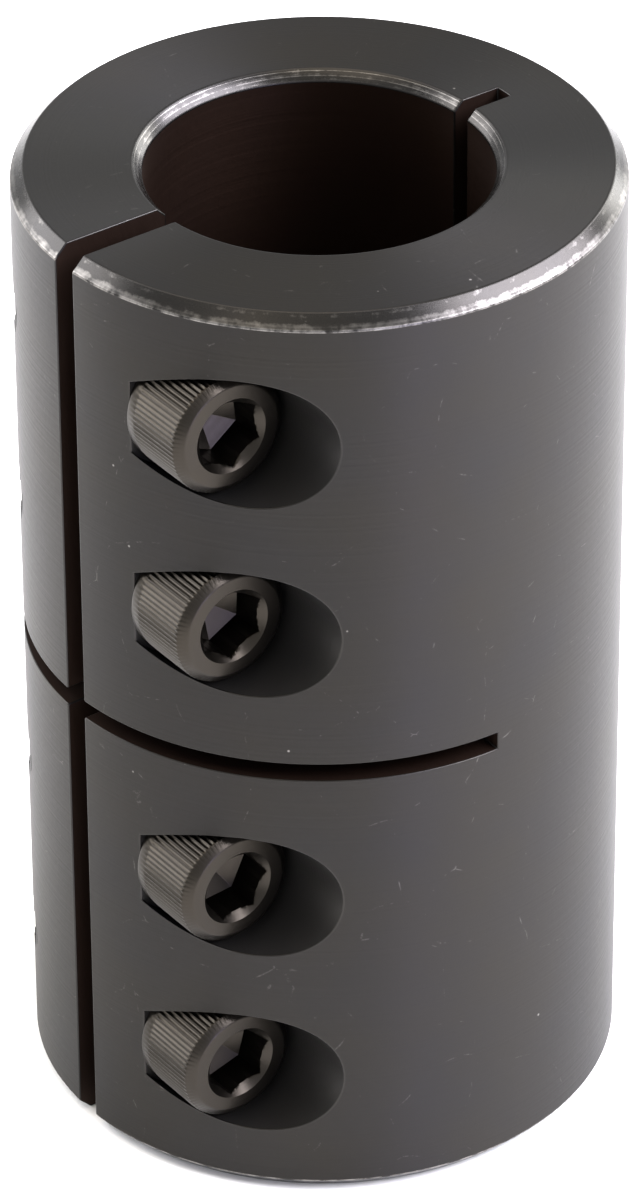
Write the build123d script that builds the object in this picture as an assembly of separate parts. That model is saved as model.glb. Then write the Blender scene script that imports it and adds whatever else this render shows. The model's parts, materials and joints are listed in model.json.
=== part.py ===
"""Rigid one-piece clamping shaft coupling, for two shafts of 25.4 mm (1 inch).

Millimetres. The origin is on the bore's axis at mid-length, and +Z runs along the bore.
The clamping slit is on the -Y side. The clamp screws lie along X beside the bore,
with their heads towards +X.
"""
import os

from build123d import *

# ---- coupling body ----
bore_diameter = 25.4
wall = 9.525                    # bore to the outside
body_length = 76.2
outer_chamfer = 1.0
bore_chamfer = 0.75
slit_width = 2.1                # full-length slit that closes as the screws tighten
relief_width = 1.5              # groove opposite the slit, where the wall flexes
relief_wall = 5.6               # wall left outside that groove
cross_slit_width = 1.4          # slit around half the body at mid-length, parting the two clamps
cross_slit_past_axis = 0.4      # how far short of the bore's axis it stops

# ---- where the clamp screws are ----
tapped_bore_wall = 1.05         # least metal between the bore and a tapped hole
pocket_bore_wall = 0.79         # least metal between the bore and the corner of a head pocket
screw_from_end = 10.65          # end face to the first screw's axis
screw_pitch = 16.0              # distance between one clamp's two screws
seat_from_slit = 5.45           # slit face to the flat seat under a screw head

# ---- clamp screw, 1/4-28 UNF x 5/8 ----
head_diameter = 9.4
head_height = 6.3
head_chamfer_height = 0.5
head_chamfer_width = 0.7
key_across_flats = 4.7625       # 3/16 inch hexagon key
key_depth = 3.05
key_mouth_chamfer = 0.25
thread_diameter = 6.35
shank_length = 15.875
tip_chamfer = 0.6
key_turns = [23.5, 32.0, 56.0, 45.0]    # each hexagon's turn from the -Y direction towards +Z

# ---- thread-locking patch, a nylon sleeve near the tip of each screw ----
patch_wall = 0.45
patch_length = 4.5
patch_from_tip = 1.6

# ---- clearances ----
head_clearance = 0.45           # head to pocket, radial
thread_clearance = 0.05         # thread to its tapped hole, radial
shank_clearance = 0.25          # thread to its clearance hole, radial
patch_clearance = 0.02          # screw to patch, all round
cut_past = 5.0                  # how far a cutting tool runs out past a face

# ---- worked out from the sizes above ----
bore_radius = bore_diameter / 2
outer_radius = bore_radius + wall
half_length = body_length / 2
slit_face = slit_width / 2
pocket_radius = head_diameter / 2 + head_clearance
seat_x = slit_face + seat_from_slit
outer_screw_z = half_length - screw_from_end
inner_screw_z = outer_screw_z - screw_pitch
screw_heights = [outer_screw_z, inner_screw_z, -inner_screw_z, -outer_screw_z]
thread_radius = thread_diameter / 2
tapped_radius = thread_radius + thread_clearance
pocket_corner_y = ((bore_radius + pocket_bore_wall) ** 2 - seat_x ** 2) ** 0.5
screw_y = -max(bore_radius + tapped_bore_wall + tapped_radius, pocket_corner_y + pocket_radius)
tip_x = seat_x - shank_length
patch_tip_side_x = tip_x + patch_from_tip
neck_radius = thread_radius - patch_wall - patch_clearance


def rod_along_x(radius, start_x, end_x):
    """A round rod on the screw's axis, between two places along X."""
    at_start = Plane(origin=(start_x, 0, 0), x_dir=(0, 1, 0), z_dir=(1, 0, 0))
    return extrude(at_start * Circle(radius), end_x - start_x)


def block(low, high):
    """A block between two opposite corners."""
    size = [top - bottom for bottom, top in zip(low, high)]
    middle = [(top + bottom) / 2 for bottom, top in zip(low, high)]
    return Pos(*middle) * Box(*size)


def make_blank():
    """The turned blank: a bored bar with its end edges broken."""
    half_section = Polyline(
        (bore_radius + bore_chamfer, -half_length),
        (outer_radius - outer_chamfer, -half_length),
        (outer_radius, outer_chamfer - half_length),
        (outer_radius, half_length - outer_chamfer),
        (outer_radius - outer_chamfer, half_length),
        (bore_radius + bore_chamfer, half_length),
        (bore_radius, half_length - bore_chamfer),
        (bore_radius, bore_chamfer - half_length),
        close=True,
    )
    return revolve(Plane.XZ * make_face(half_section), Axis.Z)


def make_slits():
    """The clamping slit, the relief groove opposite it and the cross slit."""
    past_outside = outer_radius + cut_past
    past_end = half_length + cut_past
    groove_bottom = outer_radius - relief_wall
    clamping_slit = block((-slit_face, -past_outside, -past_end), (slit_face, 0, past_end))
    relief_groove = block((-relief_width / 2, 0, -past_end), (relief_width / 2, groove_bottom, past_end))
    cross_slit = block(
        (-past_outside, -past_outside, -cross_slit_width / 2),
        (past_outside, -cross_slit_past_axis, cross_slit_width / 2),
    )
    return [clamping_slit, relief_groove, cross_slit]


def make_screw_hole(height):
    """One screw's hole: head pocket, clearance hole as far as the slit, tapped hole beyond it."""
    past_outside = outer_radius + cut_past
    pocket = rod_along_x(pocket_radius, seat_x, past_outside)
    clearance_hole = rod_along_x(thread_radius + shank_clearance, 0, seat_x)
    tapped_hole = rod_along_x(tapped_radius, -past_outside, 0)
    return Pos(0, screw_y, height) * (pocket + clearance_hole + tapped_hole)


def make_coupling_body():
    body = make_blank()
    for slit in make_slits():
        body -= slit
    for height in screw_heights:
        body -= make_screw_hole(height)
    return body


def make_screw(height, key_turn):
    """A socket head cap screw, necked down where its locking patch sits."""
    crown_x = seat_x + head_height
    neck_start_x = patch_tip_side_x - patch_clearance
    neck_end_x = patch_tip_side_x + patch_length + patch_clearance
    outline = Polyline(
        (tip_x, 0),
        (tip_x, thread_radius - tip_chamfer),
        (tip_x + tip_chamfer, thread_radius),
        (neck_start_x, thread_radius),
        (neck_start_x, neck_radius),
        (neck_end_x, neck_radius),
        (neck_end_x, thread_radius),
        (seat_x, thread_radius),
        (seat_x, head_diameter / 2),
        (crown_x - head_chamfer_height, head_diameter / 2),
        (crown_x, head_diameter / 2 - head_chamfer_width),
        (crown_x, 0),
        close=True,
    )
    screw = revolve(make_face(outline), Axis.X)
    mouth = Plane(origin=(crown_x, 0, 0), x_dir=(0, -1, 0), z_dir=(1, 0, 0))
    corner_radius = key_across_flats / 3 ** 0.5
    hexagon = mouth * Rot(0, 0, -key_turn) * RegularPolygon(corner_radius, 6)
    screw -= extrude(hexagon, -key_depth)
    screw -= mouth * Pos(0, 0, -key_mouth_chamfer / 2) * Cone(
        corner_radius - key_mouth_chamfer, corner_radius, key_mouth_chamfer)
    return Pos(0, screw_y, height) * screw


def make_locking_patch(height):
    """The nylon sleeve in a screw's neck, flush with the thread's crests."""
    end_x = patch_tip_side_x + patch_length
    sleeve = rod_along_x(thread_radius, patch_tip_side_x, end_x)
    hole = rod_along_x(thread_radius - patch_wall, patch_tip_side_x - cut_past, end_x + cut_past)
    return Pos(0, screw_y, height) * (sleeve - hole)


def save(shape, node):
    shape.label = node
    export_step(shape, os.path.join("parts", node + ".step"))


os.makedirs("parts", exist_ok=True)
save(make_coupling_body(), "coupling_body")
for number, (screw_height, turn) in enumerate(zip(screw_heights, key_turns), start=1):
    save(make_screw(screw_height, turn), f"clamp_screw_{number}")
    save(make_locking_patch(screw_height), f"locking_patch_{number}")
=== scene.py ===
"""A rigid clamping shaft coupling in black oxide steel, with four knurled clamp screws.

Metres, in the frame of the CAD model: +Z along the bore, the clamping slit on the -Y side,
the screw heads facing +X.
"""

import json
import math

import bmesh
import bpy
from bpy.props import FloatProperty, FloatVectorProperty, IntProperty, PointerProperty
from mathutils import Matrix, Vector


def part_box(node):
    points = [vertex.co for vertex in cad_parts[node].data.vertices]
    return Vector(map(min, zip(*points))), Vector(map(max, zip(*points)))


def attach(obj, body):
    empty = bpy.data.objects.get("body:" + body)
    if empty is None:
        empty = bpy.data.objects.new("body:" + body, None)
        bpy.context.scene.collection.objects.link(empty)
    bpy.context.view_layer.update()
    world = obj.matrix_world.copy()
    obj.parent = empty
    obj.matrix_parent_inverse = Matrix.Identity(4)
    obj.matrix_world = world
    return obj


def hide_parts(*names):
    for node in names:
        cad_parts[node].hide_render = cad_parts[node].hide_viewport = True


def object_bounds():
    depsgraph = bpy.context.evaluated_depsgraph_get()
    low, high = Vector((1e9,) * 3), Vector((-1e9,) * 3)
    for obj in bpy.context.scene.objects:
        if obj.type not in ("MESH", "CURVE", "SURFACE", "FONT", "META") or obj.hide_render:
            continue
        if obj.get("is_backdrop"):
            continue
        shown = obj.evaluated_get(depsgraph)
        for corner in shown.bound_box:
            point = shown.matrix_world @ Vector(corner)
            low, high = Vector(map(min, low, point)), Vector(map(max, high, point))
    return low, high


bl_info = {
    "name": "Clamping shaft coupling",
    "version": (1, 0, 0),
    "blender": (4, 5, 0),
    "location": "3D View > Sidebar > Coupling",
    "description": "Builds a black oxide clamping shaft coupling and its socket head screws",
    "category": "Mesh",
}

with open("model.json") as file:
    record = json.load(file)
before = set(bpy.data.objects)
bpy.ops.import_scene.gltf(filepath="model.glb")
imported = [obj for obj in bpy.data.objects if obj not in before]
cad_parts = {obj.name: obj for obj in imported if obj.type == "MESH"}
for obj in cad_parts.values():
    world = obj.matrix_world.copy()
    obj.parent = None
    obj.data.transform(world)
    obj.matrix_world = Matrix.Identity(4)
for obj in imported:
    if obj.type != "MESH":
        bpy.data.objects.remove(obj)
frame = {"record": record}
cad_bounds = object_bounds()

MM = 0.001
# each screw's hexagon, turned from the -Y direction towards +Z, in degrees
KEY_TURNS = (23.5, 32.0, 56.0, 45.0)


def linear(hex_colour):
    """An sRGB hex colour, such as #3A3835, as linear red, green and blue."""
    channels = [int(hex_colour[i:i + 2], 16) / 255 for i in (1, 3, 5)]
    return tuple(c / 12.92 if c <= 0.04045 else ((c + 0.055) / 1.055) ** 2.4 for c in channels)


def joint(name):
    return next(j for j in frame["record"]["behaviour"]["joints"] if j["name"] == name)


def mount(name):
    return next(m for m in frame["record"]["mounts"] if m["name"] == name)


body_high = Vector(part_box("coupling_body")[1])
HALF_LENGTH = body_high.z
OUTER_RADIUS = body_high.x
BORE_RADIUS = mount("shaft_bore")["dims"]["r_mm"] * MM
screw_low, screw_high = (Vector(corner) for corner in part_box("clamp_screw_1"))
HEAD_RADIUS = (screw_high.y - screw_low.y) / 2
TIP_X = screw_low.x
CROWN_X = screw_high.x
SCREW_CENTRES = [Vector(joint(f"screw_{k}_turn")["pos_m"]) for k in range(1, len(KEY_TURNS) + 1)]
PITCH = 2 * math.pi / frame["record"]["behaviour"]["couplings"][0]["ratio"]


# ---------------------------------------------------------------- sizes and colours

def length(name, description, millimetres):
    """A length that a user can change, given in millimetres and held in metres."""
    return FloatProperty(name=name, description=description, default=millimetres * MM,
                         min=0.0, precision=5, unit="LENGTH", subtype="DISTANCE")


def colour(name, description, hex_colour):
    return FloatVectorProperty(name=name, description=description, default=linear(hex_colour),
                               size=3, min=0.0, max=1.0, subtype="COLOR")


class CouplingBodySizes(bpy.types.PropertyGroup):
    slit_width: length("Slit width", "Width of the full-length clamping slit", 2.1)
    relief_width: length("Relief width", "Width of the groove opposite the slit", 1.5)
    relief_wall: length("Relief wall", "Wall left outside the relief groove", 5.6)
    cross_slit_width: length("Cross slit width", "Width of the slit at mid-length", 1.4)
    cross_slit_past_axis: length("Cross slit end", "How far short of the axis the cross slit stops", 0.4)
    outer_chamfer: length("Outer chamfer", "Chamfer on both outside end edges", 1.0)
    bore_chamfer: length("Bore chamfer", "Chamfer on both mouths of the bore", 0.75)
    pocket_clearance: length("Pocket clearance", "Screw head to its pocket, radial", 0.45)
    shank_clearance: length("Shank clearance", "Screw thread to its clearance hole, radial", 0.25)
    edge_break: length("Edge break", "Width of the deburred edges", 0.11)
    segments: IntProperty(name="Segments", description="Facets around the body", default=192, min=48)


class CouplingScrewSizes(bpy.types.PropertyGroup):
    head_height: length("Head height", "Height of the screw head", 6.3)
    chamfer_height: length("Chamfer height", "Height of the chamfer round the crown", 0.5)
    chamfer_width: length("Chamfer width", "Width of the chamfer round the crown", 0.7)
    across_flats: length("Across flats", "Width of the hexagon socket across its flats", 4.7625)
    key_depth: length("Key depth", "Depth of the hexagon socket", 3.05)
    thread_radius: length("Thread radius", "Outer radius of the thread", 3.175)
    thread_clearance: length("Thread clearance", "Screw thread to the tapped thread, radial", 0.05)
    knurl_depth: length("Knurl depth", "Depth of the knurl's grooves", 0.08)
    knurl_teeth: IntProperty(name="Knurl teeth", description="Ridges round a screw head", default=80,
                             min=12)


class CouplingColours(bpy.types.PropertyGroup):
    oxide: colour("Black oxide", "Black oxide on turned steel", "#32312F")
    blue_cast: colour("Blue cast", "What the oxide is multiplied by where it is bluest", "#F2F4FF")
    brown_cast: colour("Brown cast", "What the oxide is multiplied by where it is brownest", "#FFFAF0")
    bored_oxide: colour("Bored oxide", "Black oxide inside the bore and the screw holes", "#2C1F18")
    bare_steel: colour("Bare steel", "Steel where the oxide is worn through", "#7F7C78")
    screw_oxide: colour("Screw oxide", "Black oxide on the cold headed screws", "#33302B")
    nylon: colour("Nylon", "Thread-locking nylon", "#2C4E9A")
    floor: colour("Floor", "Pale matt floor", "#EFEFEC")


# ---------------------------------------------------------------- mesh helpers

def new_object(name, bm, materials):
    """Turns a bmesh into an object in the scene, with its faces facing outwards."""
    bmesh.ops.recalc_face_normals(bm, faces=bm.faces)
    mesh = bpy.data.meshes.new(name)
    bm.to_mesh(mesh)
    bm.free()
    for material in materials:
        mesh.materials.append(material)
    obj = bpy.data.objects.new(name, mesh)
    bpy.context.scene.collection.objects.link(obj)
    return obj


def smooth(obj, crease_degrees):
    """Smooth shading, with edges sharper than the crease angle kept sharp."""
    obj.data.shade_smooth()
    obj.data.set_sharp_from_angle(angle=math.radians(crease_degrees))


def apply_modifiers(obj):
    """Bakes an object's modifiers into its mesh."""
    depsgraph = bpy.context.evaluated_depsgraph_get()
    baked = bpy.data.meshes.new_from_object(obj.evaluated_get(depsgraph), depsgraph=depsgraph)
    old = obj.data
    obj.modifiers.clear()
    obj.data = baked
    baked.name = obj.name
    bpy.data.meshes.remove(old)


def join_rings(bm, rings, closed=True):
    """Skins a list of equal rings of vertices with quads and returns them."""
    faces = []
    for low, high in zip(rings, rings[1:]):
        count = len(low)
        for i in range(count if closed else count - 1):
            j = (i + 1) % count
            faces.append(bm.faces.new((low[i], low[j], high[j], high[i])))
    return faces


def around_x(centre, x, radius, angle):
    """The point at a radius and angle about a screw's axis, the angle right-handed about +X from +Y."""
    return Vector((x, centre.y + radius * math.cos(angle), centre.z + radius * math.sin(angle)))


def block(low, high):
    """A bmesh block between two opposite corners."""
    bm = bmesh.new()
    size = Vector(high) - Vector(low)
    middle = (Vector(high) + Vector(low)) / 2
    bmesh.ops.create_cube(bm, size=1.0, matrix=Matrix.Translation(middle) @ Matrix.Diagonal((*size, 1)))
    return bm


def turned_about_z(outline, angles):
    """A bmesh ring turned from a closed outline of (radius, z, slot of the face after it) points."""
    bm = bmesh.new()
    rings = []
    for radius, z, slot in outline:
        ring = [bm.verts.new((radius * math.cos(angle), radius * math.sin(angle), z)) for angle in angles]
        rings.append(ring)
    for ring, following, (_, _, slot) in zip(rings, rings[1:] + rings[:1], outline):
        for face in join_rings(bm, [ring, following]):
            face.material_index = slot
    return bm


def turned_about_x(centre, outline, segments):
    """A bmesh solid turned about a screw's axis from an open outline of (x, radius) points."""
    bm = bmesh.new()
    angles = [2 * math.pi * i / segments for i in range(segments)]
    rings = []
    for x, radius in outline:
        rings.append([bm.verts.new(around_x(centre, x, radius, angle)) for angle in angles])
    join_rings(bm, rings)
    bm.faces.new(rings[0])
    bm.faces.new(rings[-1])
    return bm


# Unified thread form, as (share of a pitch, depth in pitches) from the middle of a crest
THREAD_FORM = [(-1 / 16, 0.0), (1 / 16, 0.0), (3 / 8, 0.6134), (1 / 2, 0.65), (5 / 8, 0.6134)]


def add_thread(bm, centre, start_x, end_x, crest_radius, envelope, segments, first_angle):
    """Skins a right-handed helical thread about a screw's axis and returns its two end rings.

    The grid runs along the helix, so that every crest and root is one clean line.
    Points past either end are gathered on that end, where envelope(x) gives the radius.
    """
    knots = len(THREAD_FORM)
    first = math.floor(start_x / PITCH) - 2
    last = math.ceil(end_x / PITCH) + 2
    grid = []
    for turn in range(first, last + 1):
        for share, depth in THREAD_FORM:
            line = []
            for i in range(segments):
                angle = first_angle + 2 * math.pi * i / segments
                x = PITCH * (turn + share + angle / (2 * math.pi))
                held_x = min(max(x, start_x), end_x)
                radius = min(crest_radius - depth * PITCH, envelope(held_x))
                if held_x != x:
                    radius = envelope(held_x)
                line.append(bm.verts.new(around_x(centre, held_x, radius, angle)))
            grid.append(line)
    for row in range(len(grid) - knots - 1):
        for i in range(segments):
            j = i + 1
            if j < segments:
                corners = (grid[row][i], grid[row][j], grid[row + 1][j], grid[row + 1][i])
            else:
                corners = (grid[row][i], grid[row + knots][0], grid[row + knots + 1][0], grid[row + 1][i])
            if any(all(abs(corner.co.x - end) < 1e-8 for corner in corners) for end in (start_x, end_x)):
                continue
            bm.faces.new(corners)
    loose = [v for v in bm.verts if not v.link_faces]
    bmesh.ops.delete(bm, geom=loose, context="VERTS")
    bmesh.ops.remove_doubles(bm, verts=bm.verts, dist=1e-7)
    ends = []
    for place in (start_x, end_x):
        ring = [v for v in bm.verts if abs(v.co.x - place) < 1e-8 and v.is_boundary]

        def angle_of(v):
            angle = math.atan2(v.co.z - centre.z, v.co.y - centre.y) - first_angle
            return (angle + 1e-6) % (2 * math.pi)

        ends.append(sorted(ring, key=angle_of))
    return ends


# ---------------------------------------------------------------- materials

def add(tree, kind, inputs=None, **settings):
    """Adds a node with its settings, and its inputs as values or as sockets to link from."""
    new = tree.nodes.new(kind)
    for key, value in settings.items():
        setattr(new, key, value)
    for socket, value in (inputs or {}).items():
        if isinstance(value, bpy.types.NodeSocket):
            tree.links.new(value, new.inputs[socket])
        else:
            new.inputs[socket].default_value = value
    return new


def start_material(name):
    """An empty material, its node tree and its output node."""
    material = bpy.data.materials.new(name)
    material.use_nodes = True
    tree = material.node_tree
    tree.nodes.clear()
    return material, tree, tree.nodes.new("ShaderNodeOutputMaterial")


def rgba(values):
    return (*values, 1.0)


def black_oxide(name, tone, marks_along, marks_per_mm, roughness, brushed=0.0, rubbed=0.0, rim=0.0,
                streaked=0.0, thinned=0.2, handled=False, mirror=1.0):
    """Medium carbon steel with a hot black oxide finish, lightly oiled.

    To the eye: a very dark warm grey satin with the tool's fine lines in it, and bare steel
    glinting where the oxide is rubbed off an edge or nicked. tone is its colour, and mirror how
    much of it is mirror-like, the rest being matt. marks_along says how far the tool's lines
    step along the radius, x, y and z. brushed draws highlights out across turned lines, rubbed
    is how much steel shows, rim how much more at the round outside's end edges, streaked how far
    it follows the tool's lines and thinned how gradually the oxide gives way to it. A handled
    surface has nicks and hairlines too.
    """
    colours = bpy.context.scene.coupling_colours
    material, tree, output = start_material(name)
    place = add(tree, "ShaderNodeTexCoord").outputs["Object"]

    # clouds in the oxide, 9 mm across and finer: a few per cent lighter, darker, bluer and browner
    clouds = add(tree, "ShaderNodeTexNoise", {"Vector": place, "Scale": 1 / (9 * MM), "Detail": 5.0})
    cast = add(tree, "ShaderNodeMix", {"Factor": clouds.outputs["Fac"], "A": rgba(colours.brown_cast),
                                       "B": rgba(colours.blue_cast)}, data_type="RGBA")
    base = add(tree, "ShaderNodeMix", {"Factor": 1.0, "A": rgba(tone), "B": cast.outputs["Result"]},
               data_type="RGBA", blend_type="MULTIPLY").outputs["Result"]

    # the tool's lines: random ridges, drawn twice as coarse as the real 0.1 mm so that they show
    radius = add(tree, "ShaderNodeVectorMath", {0: place, 1: (1, 1, 0)}, operation="MULTIPLY")
    radius = add(tree, "ShaderNodeVectorMath", {0: radius.outputs[0]}, operation="LENGTH")
    step = add(tree, "ShaderNodeVectorMath", {0: place, 1: marks_along[1:]}, operation="DOT_PRODUCT")
    step = add(tree, "ShaderNodeMath", {0: radius.outputs["Value"], 1: marks_along[0],
                                        2: step.outputs["Value"]}, operation="MULTIPLY_ADD")
    lines = add(tree, "ShaderNodeTexNoise", {
        "W": step.outputs[0], "Scale": marks_per_mm / MM, "Detail": 2.0}, noise_dimensions="1D")
    grain = add(tree, "ShaderNodeTexNoise", {"Vector": place, "Scale": 1 / (0.35 * MM), "Detail": 4.0})
    relief = add(tree, "ShaderNodeMath", {0: grain.outputs["Fac"], 1: 0.6, 2: lines.outputs["Fac"]},
                 operation="MULTIPLY_ADD").outputs[0]
    bump = add(tree, "ShaderNodeBump", {"Height": relief, "Strength": 0.35, "Distance": 0.01 * MM})

    # bare steel: patches 1 mm long and finer
    patches = add(tree, "ShaderNodeTexNoise", {"Vector": place, "Scale": 1 / (1.2 * MM), "Detail": 6.0,
                                               "Roughness": 0.7})
    height = add(tree, "ShaderNodeVectorMath", {0: place, 1: (0, 0, 0.5)}, operation="DOT_PRODUCT")
    height = add(tree, "ShaderNodeMath", {0: height.outputs["Value"]}, operation="ABSOLUTE")
    reach = add(tree, "ShaderNodeMath", {0: radius.outputs["Value"], 1: height.outputs[0]})
    corner = OUTER_RADIUS + (HALF_LENGTH - bpy.context.scene.coupling_body.outer_chamfer) / 2
    at_rim = add(tree, "ShaderNodeMapRange", {
        0: reach.outputs[0], 1: corner - 0.2 * MM, 2: corner - 0.05 * MM, 4: rim})
    streaks = add(tree, "ShaderNodeMath", {0: lines.outputs["Fac"], 1: 0.5}, operation="SUBTRACT")
    chance = add(tree, "ShaderNodeMath", {0: streaks.outputs[0], 1: streaked, 2: patches.outputs["Fac"]},
                 operation="MULTIPLY_ADD")
    chance = add(tree, "ShaderNodeMath", {0: chance.outputs[0], 1: at_rim.outputs[0]})
    bare = add(tree, "ShaderNodeMapRange", {
        0: chance.outputs[0], 1: 0.75 - rubbed, 2: 0.75 - rubbed + thinned}).outputs[0]
    if handled:
        # one nick in every few 6 mm cells, each about 0.2 mm across
        nicks = add(tree, "ShaderNodeTexVoronoi", {"Vector": place, "Scale": 1 / (6 * MM)})
        nick = add(tree, "ShaderNodeMapRange", {0: nicks.outputs["Distance"], 1: 0.022, 2: 0.012})
        bare = add(tree, "ShaderNodeMath", {0: bare, 1: nick.outputs[0]}, operation="MAXIMUM").outputs[0]
        # hairline scratches, a few millimetres long
        bent = add(tree, "ShaderNodeTexNoise", {"Vector": place, "Scale": 1 / (10 * MM)})
        bent = add(tree, "ShaderNodeVectorMath", {0: bent.outputs["Color"], 1: (6 * MM,) * 3, 2: place},
                   operation="MULTIPLY_ADD")
        cells = add(tree, "ShaderNodeTexVoronoi", {"Vector": bent.outputs[0], "Scale": 1 / (7 * MM)},
                    feature="DISTANCE_TO_EDGE")
        hair = add(tree, "ShaderNodeMapRange", {0: cells.outputs["Distance"], 1: 0.008, 2: 0.002})
        kept = add(tree, "ShaderNodeMapRange", {0: patches.outputs["Fac"], 1: 0.56, 2: 0.68, 4: 0.35})
        hair = add(tree, "ShaderNodeMath", {0: hair.outputs[0], 1: kept.outputs[0]}, operation="MULTIPLY")
        bare = add(tree, "ShaderNodeMath", {0: bare, 1: hair.outputs[0]}, operation="MAXIMUM").outputs[0]

    surface = add(tree, "ShaderNodeMix", {"Factor": bare, "A": base, "B": rgba(colours.bare_steel)},
                  data_type="RGBA")
    metallic = add(tree, "ShaderNodeMapRange", {0: bare, 3: mirror, 4: 1.0})
    uneven = add(tree, "ShaderNodeMapRange", {
        0: relief, 1: 0.4, 2: 1.2, 3: roughness - 0.04, 4: roughness + 0.05})
    shader = add(tree, "ShaderNodeBsdfPrincipled", {
        "Base Color": surface.outputs["Result"], "Metallic": metallic.outputs[0],
        "Roughness": uneven.outputs[0], "Normal": bump.outputs[0]})
    if brushed:
        # turned lines run round Z and scatter light across themselves, a quarter turn from the tangent
        around = add(tree, "ShaderNodeTangent", direction_type="RADIAL", axis="Z")
        tree.links.new(around.outputs[0], shader.inputs["Tangent"])
        shader.inputs["Anisotropic"].default_value = brushed
        shader.inputs["Anisotropic Rotation"].default_value = 0.25
    tree.links.new(shader.outputs[0], output.inputs["Surface"])
    return material


def nylon():
    """Nylon 11 fused on to the thread as a powder: a waxy, slightly rough blue skin."""
    material, tree, output = start_material("nylon_11_fused_powder")
    place = add(tree, "ShaderNodeTexCoord").outputs["Object"]
    ripple = add(tree, "ShaderNodeTexNoise", {"Vector": place, "Scale": 1 / (0.4 * MM), "Detail": 3.0})
    bump = add(tree, "ShaderNodeBump", {
        "Height": ripple.outputs["Fac"], "Strength": 0.4, "Distance": 0.02 * MM})
    shader = add(tree, "ShaderNodeBsdfPrincipled", {
        "Base Color": rgba(bpy.context.scene.coupling_colours.nylon), "Roughness": 0.45, "IOR": 1.53,
        "Subsurface Weight": 0.15, "Subsurface Radius": (0.4 * MM, 0.4 * MM, 0.5 * MM),
        "Normal": bump.outputs[0]})
    tree.links.new(shader.outputs[0], output.inputs["Surface"])
    return material


# ---------------------------------------------------------------- coupling body

def cut(body, cutter):
    """Takes a cutter's shape out of the body and removes the cutter."""
    boolean = body.modifiers.new("cut", "BOOLEAN")
    boolean.operation = "DIFFERENCE"
    boolean.solver = "EXACT"
    boolean.material_mode = "TRANSFER"
    boolean.object = cutter
    apply_modifiers(body)
    bpy.data.objects.remove(cutter, do_unlink=True)


# the body's material slots
TURNED, CHAMFERED, BORED, RUBBED = range(4)


def body_outline(sizes):
    """The turned blank's closed outline: each point's radius and z, and the slot of the face after it."""
    outer, inner, half = OUTER_RADIUS, BORE_RADIUS, HALF_LENGTH
    chamfer, mouth = sizes.outer_chamfer, sizes.bore_chamfer
    return [
        (inner, half - mouth, CHAMFERED),
        (inner + mouth, half, TURNED),
        (outer - chamfer, half, CHAMFERED),
        (outer, half - chamfer, TURNED),
        (outer, chamfer - half, CHAMFERED),
        (outer - chamfer, -half, TURNED),
        (inner + mouth, -half, CHAMFERED),
        (inner, mouth - half, BORED),
    ]


def facet_angles(sizes, seat_x):
    """Even angles round the body, none so near the edge of a cut that a deburred edge would cross it."""
    relief_x, cross_y = sizes.relief_width / 2, -sizes.cross_slit_past_axis
    cuts = [(OUTER_RADIUS, math.asin(seat_x / OUTER_RADIUS) - math.pi / 2)]
    for radius in (OUTER_RADIUS, BORE_RADIUS):
        slit, cross = math.asin(sizes.slit_width / 2 / radius), math.asin(cross_y / radius)
        cuts += [(radius, slit - math.pi / 2), (radius, -slit - math.pi / 2)]
        cuts += [(radius, cross), (radius, -math.pi - cross)]
    relief = math.asin(relief_x / BORE_RADIUS)
    cuts += [(BORE_RADIUS, math.pi / 2 + relief), (BORE_RADIUS, math.pi / 2 - relief)]
    angles = [2 * math.pi * (i + 0.5) / sizes.segments - math.pi for i in range(sizes.segments)]
    for radius, at_cut in cuts:
        clear = 2 * sizes.edge_break / radius
        angles = [at_cut + math.copysign(clear, angle - at_cut) if abs(angle - at_cut) < clear else angle
                  for angle in angles]
    return sorted(angles)


def slit_cutters(sizes):
    """The clamping slit, the relief groove and the cross slit, each as a block."""
    past = 5 * MM
    beyond, above = OUTER_RADIUS + past, HALF_LENGTH + past
    half_slit, half_relief = sizes.slit_width / 2, sizes.relief_width / 2
    half_cross = sizes.cross_slit_width / 2
    yield block((-half_slit, -beyond, -above), (half_slit, 0, above))
    yield block((-half_relief, 0, -above), (half_relief, OUTER_RADIUS - sizes.relief_wall, above))
    yield block((-beyond, -beyond, -half_cross), (beyond, -sizes.cross_slit_past_axis, half_cross))


def pocket_cutter(centre):
    """The head pocket and the clearance hole behind it, from the slit outwards."""
    sizes, screw_sizes = bpy.context.scene.coupling_body, bpy.context.scene.coupling_screws
    seat_x = CROWN_X - screw_sizes.head_height
    pocket, hole = HEAD_RADIUS + sizes.pocket_clearance, screw_sizes.thread_radius + sizes.shank_clearance
    outline = [(0.0, hole), (seat_x, hole), (seat_x, pocket), (OUTER_RADIUS + 5 * MM, pocket)]
    return turned_about_x(centre, outline, 90)


def thread_cutter(centre):
    """A tap's shape: the tapped hole from the slit out through the far side."""
    screw_sizes = bpy.context.scene.coupling_screws
    crest = screw_sizes.thread_radius + screw_sizes.thread_clearance
    start_x, end_x = -OUTER_RADIUS - 2 * MM, -0.2 * MM
    bm = bmesh.new()
    rings = add_thread(bm, centre, start_x, end_x, crest, lambda x: crest, 80, 0.0)
    for ring in rings:
        bm.faces.new(ring)
    return bm


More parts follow.
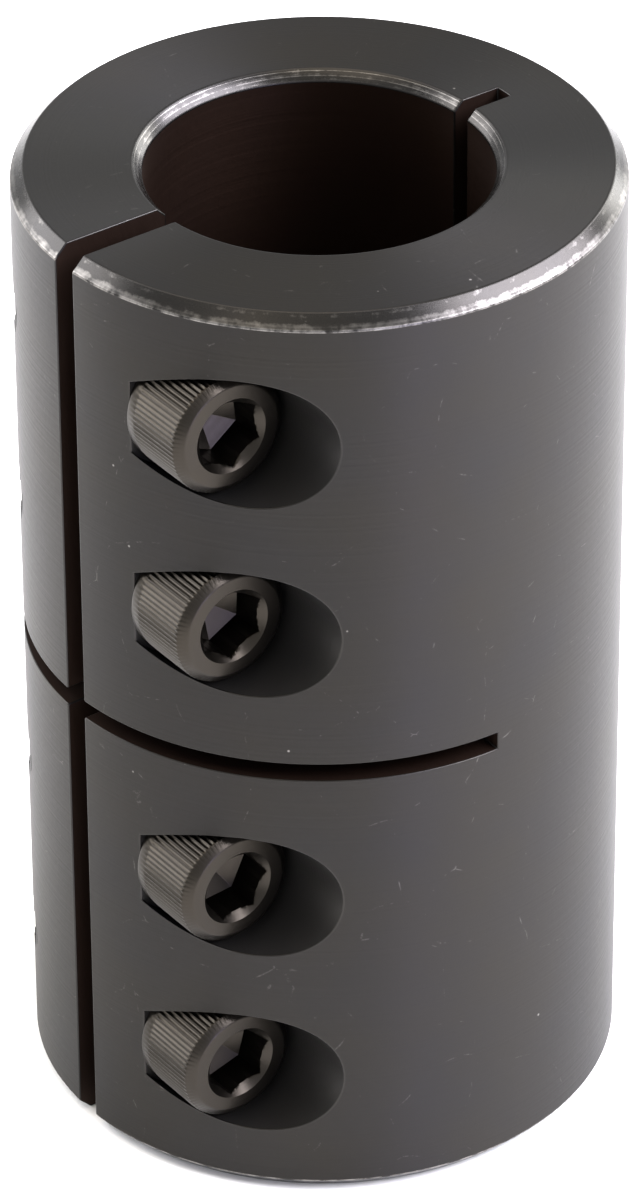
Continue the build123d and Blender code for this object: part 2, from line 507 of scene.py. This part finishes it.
def unfold(obj, strip_slot):
    """Closes the tiny folds that a bevel leaves where three cuts meet, by merging their corners.

    Only folds in the strips of strip_slot count, and corners further apart are merged only when
    nearer ones haven't closed a fold.
    """
    bm = bmesh.new()
    bm.from_mesh(obj.data)
    reach = 0.06 * MM
    for _ in range(8):
        bm.normal_update()
        # a dict, unlike a set, keeps its order, so that every run merges the same corners
        folded = {}
        for edge in bm.edges:
            if len(edge.link_faces) != 2:
                continue
            one, other = edge.link_faces
            smaller = min(one, other, key=lambda face: face.calc_area())
            if one.normal.dot(other.normal) < -0.2 and smaller.material_index == strip_slot:
                folded.update(dict.fromkeys(smaller.verts))
        if not folded:
            break
        count = len(bm.verts)
        bmesh.ops.remove_doubles(bm, verts=list(folded), dist=reach)
        bmesh.ops.dissolve_degenerate(bm, edges=bm.edges[:], dist=0.002 * MM)
        if len(bm.verts) == count:
            reach *= 1.5
    bm.to_mesh(obj.data)
    bm.free()


def round_surface(centre, axis, radius, slope=0.0):
    """A cylinder's, or a cone's, normal at a point, or None for a point that isn't on it.

    radius is measured at the centre, and slope is how much it shrinks along the axis, either way.
    """
    def normal_at(point):
        offset = point - centre
        along = offset.dot(axis)
        out = offset - axis * along
        if abs(out.length + abs(along) * slope - radius) > 0.012 * MM:
            return None
        return (out.normalized() + axis * math.copysign(slope, along)).normalized()
    return normal_at


def set_true_normals(body, surfaces, strip_slot):
    """Gives every corner of the body the normal of the true surface it lies on.

    The facets are as long as the body, and would otherwise shade by whatever is cut at their far
    ends. The narrow strips along deburred edges take the normals of the faces that they join.
    """
    mesh = body.data
    normals = [corner.vector.copy() for corner in mesh.corner_normals]
    known = {}
    for face in mesh.polygons:
        points = [mesh.vertices[vertex].co for vertex in face.vertices]
        found = None
        if max(map(abs, face.normal)) > 0.99999:
            found = [face.normal.copy()] * len(points)
        for surface in surfaces:
            at_points = [surface(point) for point in points]
            if all(at_points) and abs(face.normal.dot(at_points[0])) > 0.99:
                side = math.copysign(1, face.normal.dot(at_points[0]))
                found = [normal * side for normal in at_points]
                break
        if found:
            for corner, vertex, normal in zip(face.loop_indices, face.vertices, found):
                normals[corner] = normal
                known.setdefault(vertex, []).append(normal)
    for face in mesh.polygons:
        if face.material_index == strip_slot:
            for corner, vertex in zip(face.loop_indices, face.vertices):
                joined = known.get(vertex, [])
                if joined and all(normal.dot(joined[0]) > 0.999 for normal in joined):
                    normals[corner] = joined[0]
    mesh.normals_split_custom_set(normals)


def build_body():
    scene = bpy.context.scene
    sizes, screw_sizes, colours = scene.coupling_body, scene.coupling_screws, scene.coupling_colours
    # the lines step along the radius and z, unequally so that a 45 degree chamfer has them too
    by_turning = (1.37, 0, 0, 1)
    materials = [
        black_oxide("black_oxide_steel_turned", colours.oxide, by_turning, 5.0, 0.48, brushed=0.75,
                    handled=True),
        black_oxide("black_oxide_steel_chamfered", colours.oxide, by_turning, 5.0, 0.27, brushed=0.5,
                    rubbed=0.22, streaked=1.2, thinned=0.5, handled=True),
        black_oxide("black_oxide_steel_bored", colours.bored_oxide, by_turning, 4.0, 0.42, brushed=0.5,
                    mirror=0.92),
        black_oxide("black_oxide_steel_rubbed_edge", colours.oxide, by_turning, 5.0, 0.36, rubbed=0.1,
                    rim=0.26),
    ]
    sawn = black_oxide("black_oxide_steel_sawn", colours.bored_oxide, (0, 0.3, 1, 0.3), 4.0, 0.5,
                       mirror=0.8)
    bored = black_oxide("black_oxide_steel_counterbored", colours.oxide, (0, 1, 0, 0), 6.0, 0.4,
                        mirror=0.75)
    angles = facet_angles(sizes, CROWN_X - screw_sizes.head_height)
    body = new_object("coupling_body_machined", turned_about_z(body_outline(sizes), angles), materials)
    for cutter in slit_cutters(sizes):
        cut(body, new_object("slit_cutter", cutter, [sawn]))
    for centre in SCREW_CENTRES:
        cut(body, new_object("pocket_cutter", pocket_cutter(centre), [bored]))
    weld = body.modifiers.new("weld", "WELD")
    weld.merge_threshold = 0.03 * MM
    bevel = body.modifiers.new("edge break", "BEVEL")
    bevel.width = sizes.edge_break
    bevel.segments = 2
    bevel.limit_method = "ANGLE"
    bevel.angle_limit = math.radians(35)
    bevel.use_clamp_overlap = False
    bevel.material = RUBBED
    apply_modifiers(body)
    unfold(body, RUBBED)
    for centre in SCREW_CENTRES:
        cut(body, new_object("thread_cutter", thread_cutter(centre), [bored]))
    unfold(body, RUBBED)
    smooth(body, 50)
    up, across = Vector((0, 0, 1)), Vector((1, 0, 0))
    surfaces = [
        round_surface(Vector(), up, OUTER_RADIUS),
        round_surface(Vector(), up, BORE_RADIUS),
        round_surface(Vector(), up, OUTER_RADIUS + HALF_LENGTH - sizes.outer_chamfer, slope=1.0),
        round_surface(Vector(), up, BORE_RADIUS - HALF_LENGTH + sizes.bore_chamfer, slope=-1.0),
    ]
    for centre in SCREW_CENTRES:
        surfaces.append(round_surface(centre, across, HEAD_RADIUS + sizes.pocket_clearance))
        surfaces.append(round_surface(centre, across, screw_sizes.thread_radius + sizes.shank_clearance))
    set_true_normals(body, surfaces, RUBBED)
    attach(body, "coupling")
    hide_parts("coupling_body")


# ---------------------------------------------------------------- clamp screws

def socket_radius(screw_sizes, angle, depth):
    """The socket's wall at an angle from a corner and a depth below the crown.

    Near the mouth a 45 degree countersink cuts the flats in shallow crescents.
    """
    flat = screw_sizes.across_flats / 2
    sixth = math.pi / 3
    hexagon = flat / math.cos((angle % sixth) - sixth / 2)
    countersink = flat / math.cos(sixth / 2) + 0.2 * MM - depth
    return max(hexagon, countersink)


def head_rings(screw_sizes):
    """Each ring of the head from the bearing face to the socket's bottom, as (x, radius of angle)."""
    seat_x = CROWN_X - screw_sizes.head_height
    flat_radius = HEAD_RADIUS - screw_sizes.chamfer_width
    band = HEAD_RADIUS - 0.05 * MM
    teeth = screw_sizes.knurl_teeth

    def plain(value):
        return lambda angle: value

    def knurled(share):
        def at(angle):
            groove = (0.5 - 0.5 * math.cos(teeth * angle)) ** 0.7
            return band + share * (HEAD_RADIUS - band - screw_sizes.knurl_depth * groove)
        return at

    def socket(depth, share=1.0):
        return lambda angle: share * socket_radius(screw_sizes, angle, depth)

    rings = [
        (seat_x, plain(band - 0.25 * MM)),
        (seat_x + 0.07 * MM, plain(band - 0.07 * MM)),
        (seat_x + 0.25 * MM, plain(band)),
        (seat_x + 0.85 * MM, plain(band)),
        (seat_x + 1.0 * MM, knurled(0.8)),
        (seat_x + 1.1 * MM, knurled(1.0)),
        (CROWN_X - screw_sizes.chamfer_height - 0.25 * MM, knurled(1.0)),
        (CROWN_X - screw_sizes.chamfer_height - 0.1 * MM, knurled(0.7)),
        (CROWN_X - screw_sizes.chamfer_height, plain(band - 0.03 * MM)),
        (CROWN_X - 0.08 * MM, plain(flat_radius + 0.08 * MM)),
        (CROWN_X - 0.02 * MM, plain(flat_radius)),
        (CROWN_X, plain(flat_radius - 0.12 * MM)),
    ]
    for depth in (0.0, 0.05, 0.12, 0.2, 0.3, 0.42, 0.55):
        rings.append((CROWN_X - depth * MM, socket(depth * MM)))
    # the punch's end leaves a shallow cone, 25 degrees from flat
    cone_depth = screw_sizes.across_flats / 2 * math.tan(math.radians(25))
    for share in (1.0, 0.97, 0.6, 0.2, 0.04):
        x = CROWN_X - screw_sizes.key_depth - (1 - share) * cone_depth
        rings.append((x, socket(screw_sizes.key_depth, share)))
    return rings


def build_screw(number, centre, key_angle, material):
    """One socket head cap screw as a single closed mesh: thread, neck, knurled head and socket."""
    sizes = bpy.context.scene.coupling_screws
    seat_x = CROWN_X - sizes.head_height
    thread_end_x = seat_x - 1.3 * MM
    thread_root = sizes.thread_radius - 0.65 * PITCH
    tip_radius = thread_root - 0.12 * MM
    neck_radius = sizes.thread_radius - 0.03 * MM
    shank_segments, share = 80, 6
    head_segments = shank_segments * share

    def envelope(x):
        chamfer = tip_radius + (x - TIP_X)
        runout = neck_radius if x > thread_end_x - 1e-9 else sizes.thread_radius
        return min(chamfer, runout)

    bm = bmesh.new()
    tip_ring, neck_ring = add_thread(
        bm, centre, TIP_X, thread_end_x, sizes.thread_radius, envelope, shank_segments, key_angle)
    bm.faces.new(tip_ring)
    angles = [key_angle + 2 * math.pi * i / shank_segments for i in range(shank_segments)]
    under_head = [neck_ring]
    for x, radius in ((seat_x - 0.2 * MM, neck_radius), (seat_x - 0.06 * MM, neck_radius + 0.06 * MM),
                      (seat_x, neck_radius + 0.2 * MM)):
        under_head.append([bm.verts.new(around_x(centre, x, radius, angle)) for angle in angles])
    join_rings(bm, under_head)
    rings = []
    for x, radius_at in head_rings(sizes):
        ring = []
        for i in range(head_segments):
            turn = 2 * math.pi * i / head_segments
            ring.append(bm.verts.new(around_x(centre, x, radius_at(turn), key_angle + turn)))
        rings.append(ring)
    join_rings(bm, rings)
    bm.faces.new(rings[-1])
    bearing = under_head[-1]
    for i in range(shank_segments):
        outer = [rings[0][(i * share + step) % head_segments] for step in range(share, -1, -1)]
        bm.faces.new([bearing[i], bearing[(i + 1) % shank_segments]] + outer)
    screw = new_object(f"socket_head_screw_{number}", bm, [material])
    smooth(screw, 38)
    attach(screw, f"screw_{number}")
    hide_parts(f"clamp_screw_{number}")


def build_patch(number, centre, material):
    """The nylon skin on a third of the thread, standing 0.03 mm proud of the steel."""
    sizes = bpy.context.scene.coupling_screws
    low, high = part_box(f"locking_patch_{number}")
    start, finish, steps = math.radians(200), math.radians(320), 30
    first = math.ceil((low[0] / PITCH) - start / (2 * math.pi))
    last = math.floor((high[0] / PITCH) - finish / (2 * math.pi))
    bm = bmesh.new()
    skins = []
    for lift in (-0.03 * MM, 0.03 * MM):
        lines = []
        for turn in range(first, last + 1):
            for part, depth in THREAD_FORM:
                line = []
                for i in range(steps + 1):
                    angle = start + (finish - start) * i / steps
                    x = PITCH * (turn + part + angle / (2 * math.pi))
                    radius = sizes.thread_radius - depth * PITCH + lift
                    line.append(bm.verts.new(around_x(centre, x, radius, angle)))
                lines.append(line)
        skins.append(lines)
    inner, outer = skins
    join_rings(bm, inner, closed=False)
    join_rings(bm, outer, closed=False)
    join_rings(bm, [inner[0], outer[0]], closed=False)
    join_rings(bm, [inner[-1], outer[-1]], closed=False)
    for side in (0, -1):
        join_rings(bm, [[line[side] for line in inner], [line[side] for line in outer]], closed=False)
    patch = new_object(f"nylon_patch_{number}", bm, [material])
    smooth(patch, 60)
    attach(patch, f"screw_{number}")
    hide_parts(f"locking_patch_{number}")


# ---------------------------------------------------------------- stage

class CouplingStage(bpy.types.PropertyGroup):
    azimuth: FloatProperty(name="Azimuth", description="Where the camera stands, from -Y towards +X",
                           default=math.radians(54.2), subtype="ANGLE", unit="ROTATION")
    elevation: FloatProperty(name="Elevation", description="How far the camera looks down",
                             default=math.radians(33.37), subtype="ANGLE", unit="ROTATION")
    roll: FloatProperty(name="Roll", description="How far the camera leans to its side",
                        default=math.radians(-0.37), subtype="ANGLE", unit="ROTATION")
    distance: length("Distance", "Camera to the coupling's centre", 538.0)
    shift_up: length("Shift up", "How far above the coupling's centre the camera aims", 0.28)
    shift_left: length("Shift left", "How far to the left of the coupling's centre it aims", 0.15)
    lens: FloatProperty(name="Lens", description="Focal length in millimetres", default=216.8)
    world: FloatProperty(name="World light", description="Strength of the even light from all round",
                         default=1.0)
    floor_reach: length("Floor reach", "From the floor's middle to each of its edges", 1500.0)


def facing(azimuth, elevation):
    """The direction from the coupling towards an azimuth, from -Y towards +X, and an elevation."""
    return Vector((math.sin(azimuth) * math.cos(elevation), -math.cos(azimuth) * math.cos(elevation),
                   math.sin(elevation)))


def add_softbox(name, azimuth, elevation, distance, width, height, radiance, hex_colour):
    """A soft area light that faces the coupling, placed by angles from the camera's azimuth."""
    light = bpy.data.lights.new(name, "AREA")
    light.shape = "RECTANGLE"
    light.size, light.size_y = width, height
    light.energy = radiance * math.pi * width * height
    light.color = linear(hex_colour)
    lamp = bpy.data.objects.new(name, light)
    from_camera = bpy.context.scene.coupling_stage.azimuth + math.radians(azimuth)
    towards = facing(from_camera, math.radians(elevation))
    lamp.location = towards * distance
    lamp.rotation_euler = towards.to_track_quat("Z", "Y").to_euler()
    bpy.context.scene.collection.objects.link(lamp)


def add_camera():
    stage = bpy.context.scene.coupling_stage
    camera_data = bpy.data.cameras.new("camera")
    camera_data.lens = stage.lens
    camera_data.clip_start = 0.01
    camera = bpy.data.objects.new("camera", camera_data)
    back = facing(stage.azimuth, stage.elevation)
    right = Vector((math.cos(stage.azimuth), math.sin(stage.azimuth), 0))
    up = back.cross(right)
    roll = Matrix.Rotation(stage.roll, 3, back)
    right, up = roll @ right, roll @ up
    turned = Matrix((right, up, back)).transposed().to_4x4()
    place = back * stage.distance + up * stage.shift_up - right * stage.shift_left
    camera.matrix_world = Matrix.Translation(place) @ turned
    bpy.context.scene.collection.objects.link(camera)
    bpy.context.scene.camera = camera


def floor_material():
    """Matt painted board: an even pale surface with a barely visible tooth."""
    material, tree, output = start_material("matt_painted_board")
    place = add(tree, "ShaderNodeTexCoord").outputs["Object"]
    tooth = add(tree, "ShaderNodeTexNoise", {"Vector": place, "Scale": 1 / (0.8 * MM), "Detail": 3.0})
    bump = add(tree, "ShaderNodeBump", {
        "Height": tooth.outputs["Fac"], "Strength": 0.1, "Distance": 0.02 * MM})
    shader = add(tree, "ShaderNodeBsdfPrincipled", {
        "Base Color": rgba(bpy.context.scene.coupling_colours.floor), "Roughness": 0.85,
        "Normal": bump.outputs[0]})
    tree.links.new(shader.outputs[0], output.inputs["Surface"])
    return material


def add_floor():
    bm = bmesh.new()
    reach = bpy.context.scene.coupling_stage.floor_reach
    bmesh.ops.create_grid(bm, x_segments=8, y_segments=8, size=reach)
    floor = new_object("floor", bm, [floor_material()])
    floor.location.z = -HALF_LENGTH
    floor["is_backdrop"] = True


def add_world():
    scene = bpy.context.scene
    world = bpy.data.worlds.new("even studio light")
    scene.world = world
    world.use_nodes = True
    background = world.node_tree.nodes["Background"]
    background.inputs["Color"].default_value = rgba(linear("#F7F8FA"))
    background.inputs["Strength"].default_value = scene.coupling_stage.world
    scene.view_settings.view_transform = "Standard"
    scene.view_settings.look = "None"


# ---------------------------------------------------------------- operators and panel

class COUPLING_OT_stage(bpy.types.Operator):
    """Set up the floor, the lights and the camera"""
    bl_idname = "coupling.stage"
    bl_label = "Stage"

    def execute(self, context):
        add_world()
        add_floor()
        add_camera()
        add_softbox("softbox_right", azimuth=84, elevation=40, distance=0.7,
                    width=0.80, height=0.35, radiance=23.5, hex_colour="#F4F2FF")
        add_softbox("softbox_left", azimuth=-112, elevation=30, distance=0.6,
                    width=0.40, height=0.40, radiance=9.0, hex_colour="#FCFBFF")
        add_softbox("softbox_behind_right", azimuth=136, elevation=20, distance=0.6,
                    width=0.16, height=0.30, radiance=12.0, hex_colour="#FFFFFF")
        add_softbox("strip_low_right", azimuth=32, elevation=9, distance=0.6,
                    width=0.08, height=0.20, radiance=17.0, hex_colour="#CFCBFF")
        add_softbox("softbox_overhead", azimuth=-70, elevation=80, distance=0.9,
                    width=0.70, height=0.70, radiance=2.5, hex_colour="#FFF1DE")
        return {"FINISHED"}


class COUPLING_OT_body(bpy.types.Operator):
    """Build the machined coupling body"""
    bl_idname = "coupling.body"
    bl_label = "Coupling body"

    def execute(self, context):
        build_body()
        return {"FINISHED"}


class COUPLING_OT_screws(bpy.types.Operator):
    """Build the four socket head clamp screws"""
    bl_idname = "coupling.screws"
    bl_label = "Clamp screws"

    def execute(self, context):
        tone = context.scene.coupling_colours.screw_oxide
        material = black_oxide("black_oxide_steel_cold_headed", tone, (0, 1, 0, 0), 4.0, 0.34)
        for number, (centre, turn) in enumerate(zip(SCREW_CENTRES, KEY_TURNS), start=1):
            build_screw(number, centre, math.pi - math.radians(turn), material)
        return {"FINISHED"}


class COUPLING_OT_patches(bpy.types.Operator):
    """Build the nylon locking patches on the screw threads"""
    bl_idname = "coupling.patches"
    bl_label = "Locking patches"

    def execute(self, context):
        material = nylon()
        for number, centre in enumerate(SCREW_CENTRES, start=1):
            build_patch(number, centre, material)
        return {"FINISHED"}


class COUPLING_PT_panel(bpy.types.Panel):
    bl_idname = "COUPLING_PT_panel"
    bl_label = "Clamping shaft coupling"
    bl_space_type = "VIEW_3D"
    bl_region_type = "UI"
    bl_category = "Coupling"

    def draw(self, context):
        for operator in OPERATORS:
            self.layout.operator(operator.bl_idname)
        for name, group in GROUPS.items():
            box = self.layout.box()
            for prop in group.__annotations__:
                box.prop(getattr(context.scene, name), prop)


OPERATORS = (COUPLING_OT_stage, COUPLING_OT_body, COUPLING_OT_screws, COUPLING_OT_patches)
GROUPS = {"coupling_body": CouplingBodySizes, "coupling_screws": CouplingScrewSizes,
          "coupling_colours": CouplingColours, "coupling_stage": CouplingStage}


def register():
    for group in GROUPS.values():
        bpy.utils.register_class(group)
    for operator in OPERATORS:
        bpy.utils.register_class(operator)
    bpy.utils.register_class(COUPLING_PT_panel)
    for name, group in GROUPS.items():
        setattr(bpy.types.Scene, name, PointerProperty(type=group))


def unregister():
    for name in GROUPS:
        delattr(bpy.types.Scene, name)
    bpy.utils.unregister_class(COUPLING_PT_panel)
    for cls in (*OPERATORS, *GROUPS.values()):
        bpy.utils.unregister_class(cls)


def main():
    register()
    bpy.ops.coupling.stage()
    bpy.ops.coupling.body()
    bpy.ops.coupling.screws()
    bpy.ops.coupling.patches()
    boxes = {"cad": cad_bounds, "visual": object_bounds()}
    {name: [list(corner) for corner in corners] for name, corners in boxes.items()}


if __name__ == "__main__":
    main()
